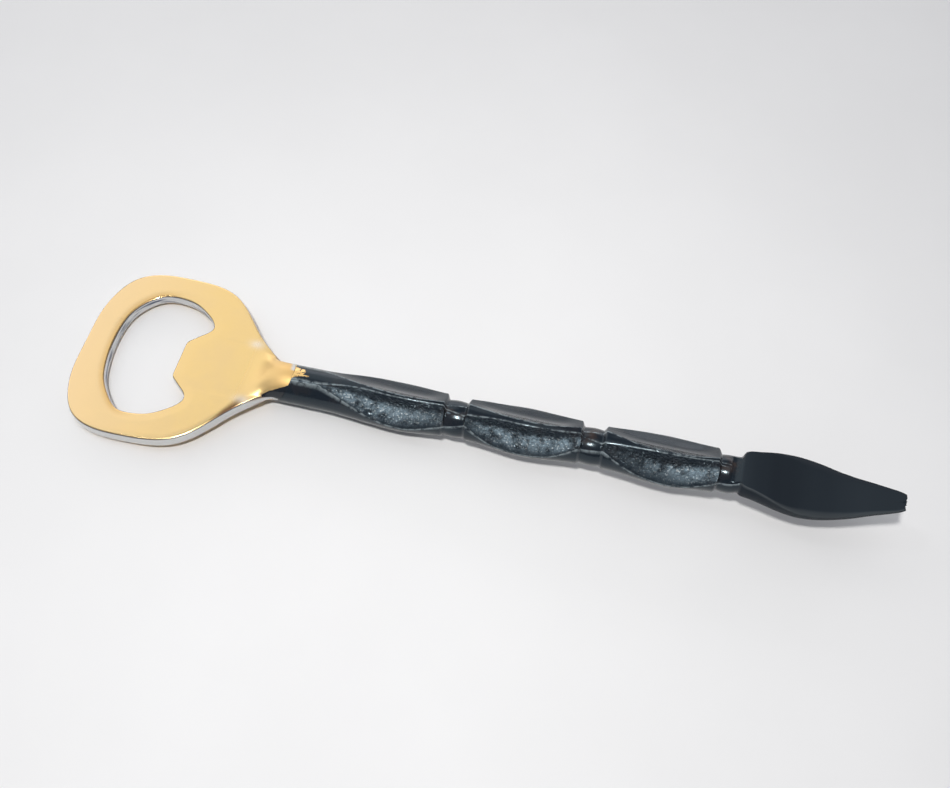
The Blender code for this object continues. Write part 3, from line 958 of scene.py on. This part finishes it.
class ShaderSheet:
    """A node tree that is written down one node at a time."""

    def __init__(self, tree: bpy.types.NodeTree) -> None:
        """Keep the tree that the nodes go in."""
        self.tree = tree

    def node(self, kind: str, inputs: dict[str | int, Any] | None = None, **settings: Any) -> bpy.types.Node:
        """Add a node, with its settings, and with each input set to a value or linked to a socket.

        Args:
            kind: the node's type.
            inputs: a value or a socket for each input.
            settings: the node's own settings.

        Returns:
            The new node.
        """
        node = self.tree.nodes.new(kind)
        for name, value in settings.items():
            setattr(node, name, value)
        for name, value in (inputs or {}).items():
            self.feed(node.inputs[name], value)
        return node

    def feed(self, socket: bpy.types.NodeSocket, value: Any) -> None:
        """Link a socket to another, or set its value."""
        if isinstance(value, bpy.types.NodeSocket):
            self.tree.links.new(value, socket)
        else:
            socket.default_value = value

    def maths(self, operation: str, *values: Any, clamp: bool = False) -> bpy.types.NodeSocket:
        """Add a Math node and return its result."""
        node = self.node("ShaderNodeMath", dict(enumerate(values)), operation=operation, use_clamp=clamp)
        return node.outputs[0]

    def ramp(self, value: Any, low: float, high: float, start: float = 0.0,
             end: float = 1.0) -> bpy.types.NodeSocket:
        """Map a value smoothly from one range to another."""
        return self.node("ShaderNodeMapRange", {0: value, 1: low, 2: high, 3: start, 4: end},
                         interpolation_type="SMOOTHSTEP").outputs[0]

    def mix(self, share: Any, first: Any, second: Any) -> bpy.types.NodeSocket:
        """Mix two colours."""
        return self.node("ShaderNodeMix", {0: share, 6: first, 7: second}, data_type="RGBA").outputs[2]

    def blend(self, share: Any, first: Any, second: Any) -> bpy.types.NodeSocket:
        """Mix two numbers."""
        return self.node("ShaderNodeMix", {0: share, 2: first, 3: second}).outputs[0]

    def noise(self, vector: Any, scale: float, detail: float = 3.0,
              roughness: float = 0.55) -> bpy.types.NodeSocket:
        """Add a noise pattern and return its value."""
        return self.node("ShaderNodeTexNoise", {"Vector": vector, "Scale": scale, "Detail": detail,
                                                "Roughness": roughness}).outputs[0]

    def mask(self, name: str) -> bpy.types.NodeSocket:
        """Read one of the mesh's point attributes."""
        return self.node("ShaderNodeAttribute", attribute_name=name).outputs["Fac"]

    def place(self) -> bpy.types.NodeSocket:
        """Return the Object coordinates."""
        return self.node("ShaderNodeTexCoord").outputs["Object"]

    def lacquer_edge(self, tree: bpy.types.NodeTree, place: Any) -> bpy.types.Node:
        """Place the group that draws the line between lacquer and gold."""
        given = {"Vector": place, "Along": self.mask("along"), "From Top": self.mask("from_top")}
        return self.node("ShaderNodeGroup", given, node_tree=tree)


def new_group(name: str, inputs: dict[str, float],
              outputs: Sequence[str]) -> tuple[bpy.types.NodeTree, ShaderSheet, bpy.types.Node, bpy.types.Node]:
    """Start a shader node group with a Vector input, value inputs and value outputs.

    Args:
        name: the group's name.
        inputs: value inputs and their usual values.
        outputs: names of the value outputs.

    Returns:
        The group, its sheet, and its input and output nodes.
    """
    tree = bpy.data.node_groups.new(name, "ShaderNodeTree")
    tree.interface.new_socket("Vector", in_out="INPUT", socket_type="NodeSocketVector")
    for label, value in inputs.items():
        socket = tree.interface.new_socket(label, in_out="INPUT", socket_type="NodeSocketFloat")
        socket.default_value = value
    for label in outputs:
        tree.interface.new_socket(label, in_out="OUTPUT", socket_type="NodeSocketFloat")
    sheet = ShaderSheet(tree)
    return tree, sheet, sheet.node("NodeGroupInput"), sheet.node("NodeGroupOutput")


def handling_group() -> bpy.types.NodeTree:
    """Wear from handling: soft smudges and fine crossing scratches, both from 0 to 1.

    Returns:
        The group.
    """
    tree, sheet, given, result = new_group("handling_wear", {"Smudge Scale": 60.0, "Scratch Scale": 900.0},
                                           ("Smudges", "Scratches"))
    soft = sheet.noise(given.outputs["Vector"], given.outputs["Smudge Scale"], 4.0, 0.6)
    sheet.feed(result.inputs["Smudges"], sheet.ramp(soft, 0.38, 0.68))
    lines = []
    for turn, stretch in ((0.5, 0.06), (-0.9, 0.05)):
        mapping = {"Vector": given.outputs["Vector"], "Rotation": (0.0, 0.0, turn),
                   "Scale": (stretch, 1.0, 1.0)}
        turned = sheet.node("ShaderNodeMapping", mapping).outputs[0]
        streaks = sheet.noise(turned, given.outputs["Scratch Scale"], 2.0, 0.5)
        lines.append(sheet.ramp(streaks, 0.62, 0.72))
    sheet.feed(result.inputs["Scratches"], sheet.maths("MAXIMUM", *lines))
    return tree


def lacquer_edge_group() -> bpy.types.NodeTree:
    """The ragged line round the joint at which black lacquer meets the gold wash: 1 on the lacquer's side.

    The line leans along the neck, and a narrow tongue of gold runs past the joint along the top.

    Returns:
        The group.
    """
    tree, sheet, given, result = new_group("lacquer_edge", {"Along": 0.0, "From Top": 0.0},
                                           ("Lacquer", "Flecks"))
    around = given.outputs["From Top"]
    leaning = sheet.maths("MULTIPLY_ADD", around, -0.1, 52.8)
    near = sheet.maths("ADD", leaning, sheet.ramp(around, 76.0, 94.0, 0.0, 5.5))
    far = sheet.ramp(around, -150.0, -22.0, 48.0, 51.4)
    side = sheet.maths("GREATER_THAN", around, -4.0)
    line = sheet.blend(side, far, near)
    rise = sheet.ramp(around, -34.0, -24.0)
    fall = sheet.ramp(around, -2.0, 9.0, 1.0, 0.0)
    tongue = sheet.maths("MULTIPLY", rise, fall)
    grain = sheet.noise(given.outputs["Vector"], 900.0, 4.0, 0.65)
    ragged = sheet.maths("MULTIPLY_ADD", grain, 3.4, -1.7)
    reach = sheet.maths("MULTIPLY_ADD", tongue, sheet.maths("MULTIPLY_ADD", ragged, 1.9, 1.7), line)
    edge = sheet.maths("MULTIPLY_ADD", ragged, 0.22, reach)
    past = sheet.maths("SUBTRACT", given.outputs["Along"], edge)
    sheet.feed(result.inputs["Lacquer"], sheet.ramp(past, -0.06, 0.1))
    beyond = sheet.ramp(past, -1.6, 0.2)
    specks = sheet.ramp(sheet.noise(given.outputs["Vector"], 1500.0, 2.0), 0.5, 0.6)
    scattered = sheet.maths("MULTIPLY", beyond, specks)
    sheet.feed(result.inputs["Flecks"], sheet.maths("MULTIPLY", scattered, tongue))
    return tree


@dataclass(frozen=True)
class GoldWash:
    """Pale gold wash on the flat faces, bright nickel where the edges were polished back, with painted shade,
    highlights and wall reflections.
    """

    gold: tuple[float, float, float, float] = (0.92, 0.665, 0.29, 1.0)
    peach: tuple[float, float, float, float] = (0.94, 0.69, 0.38, 1.0)
    # Painted shade colour, for the band round the opening and the darkening toward the neck.
    amber_shade: tuple[float, float, float, float] = (0.72, 0.43, 0.13, 1.0)
    # Painted highlight colour, for the pale spots where the ring flares into the neck.
    pale_highlight: tuple[float, float, float, float] = (0.97, 0.86, 0.72, 1.0)
    nickel: tuple[float, float, float, float] = (0.64, 0.645, 0.64, 1.0)
    tarnish: tuple[float, float, float, float] = (0.10, 0.02, 0.015, 1.0)
    # Painted reflection colour, for the dark streaks on the opening's wall.
    shadow: tuple[float, float, float, float] = (0.10, 0.11, 0.16, 1.0)
    lacquer: tuple[float, float, float, float] = (0.006, 0.0095, 0.015, 1.0)

    def material(self, wear: bpy.types.NodeTree, lacquer_edge: bpy.types.NodeTree) -> bpy.types.Material:
        """Return the head's material.

        Args:
            wear: the handling wear group.
            lacquer_edge: the lacquer edge group.

        Returns:
            The material.
        """
        material = bpy.data.materials.new("gold_washed_metal")
        material.use_nodes = True
        sheet = ShaderSheet(material.node_tree)
        shader = material.node_tree.nodes["Principled BSDF"]
        place = sheet.place()
        marks = sheet.node("ShaderNodeGroup", {"Vector": place}, node_tree=wear)
        smudges = marks.outputs["Smudges"]
        edge = sheet.lacquer_edge(lacquer_edge, place)
        along = sheet.mask("along")
        far_end = sheet.ramp(along, 34.0, -4.0)
        face = sheet.mix(far_end, self.gold, self.peach)
        mottled = sheet.mix(sheet.maths("MULTIPLY", smudges, 0.35), face, self.peach)
        toward_neck = sheet.ramp(along, 43.0, 50.5)
        # Painted shade: darker amber round the opening's edge.
        opening_shaded = sheet.mix(sheet.maths("MULTIPLY", sheet.mask("opening_shade"), 0.7), mottled, self.amber_shade)
        # Painted highlight: pale spots where the ring flares into the neck.
        highlighted = sheet.mix(sheet.maths("MULTIPLY", sheet.mask("neck_highlight"), 0.75), opening_shaded, self.pale_highlight)
        stained = sheet.mix(sheet.maths("MULTIPLY", sheet.mask("stain"), 0.85), highlighted, self.tarnish)
        # Painted shade: the face turns darker amber toward the neck.
        shaded = sheet.mix(sheet.maths("MULTIPLY", toward_neck, 0.6), stained, self.amber_shade)
        wash = sheet.mask("wash")
        around = sheet.mask("from_top")
        bare = sheet.maths("MULTIPLY", sheet.ramp(along, 48.3, 49.0), sheet.ramp(around, -10.0, -16.0))
        # Painted reflection: dark streaks on the opening's wall, in the shadow colour.
        stretched = sheet.node("ShaderNodeMapping", {"Vector": place, "Scale": (0.1, 0.1, 1.0)}).outputs[0]
        streaks = sheet.ramp(sheet.noise(stretched, 1500.0, 2.0, 0.5), 0.42, 0.6)
        wall_reflections = sheet.maths("MULTIPLY", streaks, sheet.mask("hole_wall"))
        wall_reflected = sheet.mix(wall_reflections, self.nickel, self.shadow)
        washed = sheet.mix(sheet.maths("SUBTRACT", wash, bare, clamp=True), wall_reflected, shaded)
        border = sheet.maths("MULTIPLY", wash, sheet.maths("SUBTRACT", 1.0, wash))
        metal = sheet.mix(sheet.maths("MULTIPLY", border, 2.6, clamp=True), washed, self.tarnish)
        flecked = sheet.mix(edge.outputs["Flecks"], metal, self.tarnish)
        sheet.feed(shader.inputs["Base Color"], sheet.mix(edge.outputs["Lacquer"], flecked, self.lacquer))
        sheet.feed(shader.inputs["Metallic"], sheet.maths("SUBTRACT", 1.0, edge.outputs["Lacquer"]))
        on_neck = sheet.ramp(along, 38.0, 43.0)
        polish = sheet.blend(wash, 0.09, sheet.maths("MULTIPLY_ADD", on_neck, 0.2, 0.2))
        dulled = sheet.maths("MULTIPLY_ADD", smudges, 0.07, polish)
        sheet.feed(shader.inputs["Roughness"], sheet.blend(edge.outputs["Lacquer"], dulled, 0.16))
        ripple = sheet.noise(place, 140.0, 2.0, 0.5)
        bump = sheet.node("ShaderNodeBump", {"Height": ripple, "Strength": 0.04, "Distance": 0.0006})
        sheet.feed(shader.inputs["Normal"], bump.outputs[0])
        return material


@dataclass(frozen=True)
class BlackLacquer:
    """Black gloss lacquer over hand-scooped wood: rough in the scoops, lighter on the ridges from wear and
    painted highlight, with painted glints in the near scoops.
    """

    black: tuple[float, float, float, float] = (0.006, 0.0095, 0.015, 1.0)
    brown: tuple[float, float, float, float] = (0.05, 0.031, 0.024, 1.0)
    # Lighter grey for the ridges: wear and painted highlight together.
    rubbed_and_lit: tuple[float, float, float, float] = (0.30, 0.35, 0.37, 1.0)
    leaf: tuple[float, float, float, float] = (0.001, 0.0025, 0.007, 1.0)
    # Painted highlight colour for the tip's near crest line.
    crest_highlight: tuple[float, float, float, float] = (0.05, 0.055, 0.06, 1.0)
    # Painted glint and sheen colours for the near scoops.
    glint: tuple[float, float, float, float] = (0.95, 1.0, 1.0, 1.0)
    painted_sheen: tuple[float, float, float, float] = (0.30, 0.40, 0.47, 1.0)
    gold: tuple[float, float, float, float] = (0.90, 0.60, 0.25, 1.0)
    tarnish: tuple[float, float, float, float] = (0.10, 0.02, 0.015, 1.0)

    def material(self, wear: bpy.types.NodeTree, lacquer_edge: bpy.types.NodeTree) -> bpy.types.Material:
        """Return the handle's material.

        Args:
            wear: the handling wear group.
            lacquer_edge: the lacquer edge group.

        Returns:
            The material.
        """
        material = bpy.data.materials.new("black_lacquered_wood")
        material.use_nodes = True
        sheet = ShaderSheet(material.node_tree)
        shader = material.node_tree.nodes["Principled BSDF"]
        place = sheet.place()
        marks = sheet.node("ShaderNodeGroup", {"Vector": place}, node_tree=wear)
        smudges, scratches = marks.outputs["Smudges"], marks.outputs["Scratches"]
        edge = sheet.lacquer_edge(lacquer_edge, place)
        carve, ridge, leaf = sheet.mask("carve"), sheet.mask("ridge"), sheet.mask("leaf")
        patches = sheet.ramp(sheet.noise(place, 260.0, 3.0), 0.48, 0.7)
        on_top = sheet.ramp(sheet.mask("from_top"), 34.0, 8.0)
        on_groove = sheet.maths("MULTIPLY", sheet.mask("groove"), on_top)
        browned = sheet.maths("MULTIPLY", patches, sheet.maths("MULTIPLY_ADD", on_groove, 0.6, 0.15))
        ground = sheet.mix(browned, self.black, self.brown)
        # Ridges lighter from wear and from a painted highlight along the edges between flats.
        rub_and_highlight = sheet.maths("MULTIPLY", ridge, sheet.ramp(sheet.noise(place, 900.0, 3.0), 0.32, 0.6))
        worn_and_highlit = sheet.mix(sheet.maths("MULTIPLY", rub_and_highlight, 0.75), ground, self.rubbed_and_lit)
        # Painted highlight: a grey sheen and light specks in the near scoops.
        shine = sheet.mask("glint")
        cloud = sheet.ramp(sheet.noise(place, 420.0, 3.0, 0.6), 0.3, 0.62)
        sheened = sheet.mix(sheet.maths("MULTIPLY", shine, cloud), worn_and_highlit, self.painted_sheen)
        glint_specks = sheet.ramp(sheet.noise(place, 2300.0, 2.0, 0.6), 0.56, 0.7)
        sparkling = sheet.maths("MULTIPLY", sheet.maths("MULTIPLY", glint_specks, shine),
                                sheet.maths("MULTIPLY_ADD", cloud, 0.7, 0.3))
        leafed = sheet.mix(leaf, sheet.mix(sparkling, sheened, self.glint), self.leaf)
        # Painted highlight: a lighter line along the tip's near crest.
        body = sheet.mix(sheet.maths("MULTIPLY", ridge, leaf), leafed, self.crest_highlight)
        flecked = sheet.mix(edge.outputs["Flecks"], self.gold, self.tarnish)
        sheet.feed(shader.inputs["Base Color"], sheet.mix(edge.outputs["Lacquer"], flecked, body))
        sheet.feed(shader.inputs["Metallic"], sheet.maths("SUBTRACT", 1.0, edge.outputs["Lacquer"]))
        gloss = sheet.maths("MULTIPLY_ADD", smudges, 0.08, 0.14)
        in_scoop = sheet.maths("MULTIPLY_ADD", carve, 0.08, gloss)
        on_leaf = sheet.blend(leaf, in_scoop, 0.7)
        sheet.feed(shader.inputs["Roughness"], on_leaf)
        hammered = sheet.noise(place, 1250.0, 2.0, 0.6)
        dents = sheet.node("ShaderNodeTexVoronoi", {"Vector": place, "Scale": 1400.0}).outputs["Distance"]
        rough_height = sheet.maths("MULTIPLY", sheet.maths("ADD", hammered, dents), carve)
        fine = sheet.maths("MULTIPLY_ADD", sheet.noise(place, 2200.0, 2.0), 0.012, rough_height)
        scored = sheet.maths("MULTIPLY_ADD", scratches, -0.012, fine)
        bump = sheet.node("ShaderNodeBump", {"Height": scored, "Strength": 1.0, "Distance": 0.0009})
        sheet.feed(shader.inputs["Normal"], bump.outputs[0])
        shader.inputs["Specular IOR Level"].default_value = 0.5
        shader.inputs["Specular Tint"].default_value = (0.72, 0.9, 1.0, 1.0)
        return material


@dataclass(frozen=True)
class SetGlue:
    """Amber glue that has set with small bubbles; it lies hidden in the bore."""

    clear: tuple[float, float, float, float] = (0.62, 0.46, 0.22, 1.0)
    cloudy: tuple[float, float, float, float] = (0.72, 0.62, 0.42, 1.0)

    def material(self, wear: bpy.types.NodeTree) -> bpy.types.Material:
        """Return the glue's material.

        Args:
            wear: the handling wear group.

        Returns:
            The material.
        """
        material = bpy.data.materials.new("set_glue")
        material.use_nodes = True
        sheet = ShaderSheet(material.node_tree)
        shader = material.node_tree.nodes["Principled BSDF"]
        place = sheet.place()
        marks = sheet.node("ShaderNodeGroup", {"Vector": place}, node_tree=wear)
        sheet.feed(shader.inputs["Base Color"], sheet.mix(marks.outputs["Smudges"], self.clear, self.cloudy))
        bubbles = sheet.node("ShaderNodeTexVoronoi", {"Vector": place, "Scale": 1400.0}).outputs["Distance"]
        sheet.feed(shader.inputs["Roughness"], sheet.ramp(bubbles, 0.0, 0.6, 0.45, 0.25))
        bump = sheet.node("ShaderNodeBump", {"Height": bubbles, "Strength": 0.3, "Distance": 0.0002})
        sheet.feed(shader.inputs["Normal"], bump.outputs[0])
        return material


# -------------------------------------------------------------------------------------------- the studio

@dataclass
class Studio:
    """The pale table, the lights and the camera."""

    pose: RestingPose
    table_colour: tuple[float, float, float, float] = (0.83, 0.83, 0.835, 1.0)
    camera_at: tuple[float, float, float] = (122.5, -121.4, 215.2)
    camera_elevation: float = 58.5
    camera_azimuth: float = 13.2
    lens: float = 41.68

    def table(self) -> bpy.types.Object:
        """Lay the table: a large level sheet with a faint mottle.

        Returns:
            The table's object.
        """
        mesh = bpy.data.meshes.new("table")
        half = 1.6
        mesh.from_pydata([(-half, -half, 0.0), (half, -half, 0.0), (half, half, 0.0), (-half, half, 0.0)], [],
                         [(0, 1, 2, 3)])
        item = bpy.data.objects.new("table", mesh)
        bpy.context.scene.collection.objects.link(item)
        material = bpy.data.materials.new("pale_table")
        material.use_nodes = True
        sheet = ShaderSheet(material.node_tree)
        shader = material.node_tree.nodes["Principled BSDF"]
        mottle = sheet.noise(sheet.place(), 14.0, 4.0)
        shade = tuple(0.97 * part for part in self.table_colour[:3]) + (1.0,)
        colour = sheet.mix(sheet.ramp(mottle, 0.3, 0.7), shade, self.table_colour)
        sheet.feed(shader.inputs["Base Color"], colour)
        shader.inputs["Roughness"].default_value = 0.55
        shader.inputs["Specular IOR Level"].default_value = 0.2
        item.data.materials.append(material)
        return item

    def camera(self) -> bpy.types.Object:
        """Set the camera above the table, looking down along the handle's near side.

        Returns:
            The camera, made the scene's own.
        """
        data = bpy.data.cameras.new("camera")
        data.lens = self.lens
        data.sensor_width = 36.0
        data.clip_start = 0.01
        data.clip_end = 20.0
        item = bpy.data.objects.new("camera", data)
        bpy.context.scene.collection.objects.link(item)
        look = (Matrix.Rotation(math.radians(self.camera_azimuth), 4, "Z")
                @ Matrix.Rotation(math.radians(90.0 - self.camera_elevation), 4, "X"))
        tip = Matrix.Rotation(-self.pose.tilt, 4, "Y")
        centre = self.pose.matrix() @ Vector(self.camera_at)
        item.matrix_world = Matrix.Translation(centre) @ tip @ look
        bpy.context.scene.camera = item
        return item

    def lamp(self, name: str, place: tuple[float, float, float], target: tuple[float, float, float],
             size: tuple[float, float], power: float, colour: tuple[float, float, float]) -> bpy.types.Object:
        """Hang one rectangular lamp that faces a target.

        Args:
            name: the lamp's name.
            place: where it hangs, in metres.
            target: the place that it faces.
            size: its two sides, in metres.
            power: watts.
            colour: its light's colour.

        Returns:
            The lamp's object.
        """
        data = bpy.data.lights.new(name, "AREA")
        data.shape = "RECTANGLE"
        data.size, data.size_y = size
        data.energy = power
        data.color = colour
        item = bpy.data.objects.new(name, data)
        bpy.context.scene.collection.objects.link(item)
        item.location = place
        item.rotation_euler = (Vector(target) - Vector(place)).to_track_quat("-Z", "Y").to_euler()
        return item

    def lights(self) -> None:
        """Hang three broad panels and an overhead softbox round the opener, and two small lamps near it."""
        middle = (0.0, 0.0, 0.0)
        self.lamp("head_panel", (-0.85, 0.62, 0.8), (-0.07, 0.0, 0.0), (1.5, 1.1), 4.0, (1.0, 0.985, 0.96))
        self.lamp("side_panel", (-1.3, 0.1, 0.3), (-0.05, 0.0, 0.0), (1.6, 0.5), 1.7, (1.0, 0.97, 0.93))
        self.lamp("back_panel", (0.15, 1.3, 0.38), middle, (2.6, 0.7), 7.0, (0.98, 0.95, 0.97))
        self.lamp("overhead", (0.1, 0.05, 1.5), middle, (0.9, 0.7), 1.0, (0.97, 0.985, 1.0))
        small = (0.03, 0.03)
        flash = self.lamp("flash", (-0.03, -0.148, 0.42), (0.0, 0.03, 0.0), small, 0.5, (1.0, 0.98, 0.95))
        flash.data.spread = math.radians(115.0)
        self.lamp("edge_lamp", (-0.25, -0.02, 0.5), middle, small, 0.12, (0.9, 0.95, 1.0))
        world = bpy.data.worlds.new("studio")
        world.use_nodes = True
        background = world.node_tree.nodes["Background"]
        background.inputs["Color"].default_value = (0.93, 0.97, 1.05, 1.0)
        background.inputs["Strength"].default_value = 0.26
        bpy.context.scene.world = world
        bpy.context.scene.view_settings.view_transform = "Standard"


def main() -> None:
    """Build the studio, the head and the handle, and dress the glue sleeve."""
    logging.basicConfig(level=logging.INFO, format="%(message)s")
    pose = RestingPose.from_record(frame["record"])
    studio = Studio(pose)
    studio.camera()
    studio.table()
    studio.lights()
    wear, lacquer_edge = handling_group(), lacquer_edge_group()
    head = OpenerHead().make(pose, GoldWash().material(wear, lacquer_edge))
    LOG.info("head: %d faces", len(head.data.polygons))
    handle = CarvedHandle().make(pose, BlackLacquer().material(wear, lacquer_edge))
    LOG.info("handle: %d faces", len(handle.data.polygons))
    glue = frame["nodes"]["glue_sleeve"]
    glue.data.materials.clear()
    glue.data.materials.append(SetGlue().material(wear))
    LOG.info("glue sleeve: dressed")


if __name__ == "__main__":
    main()
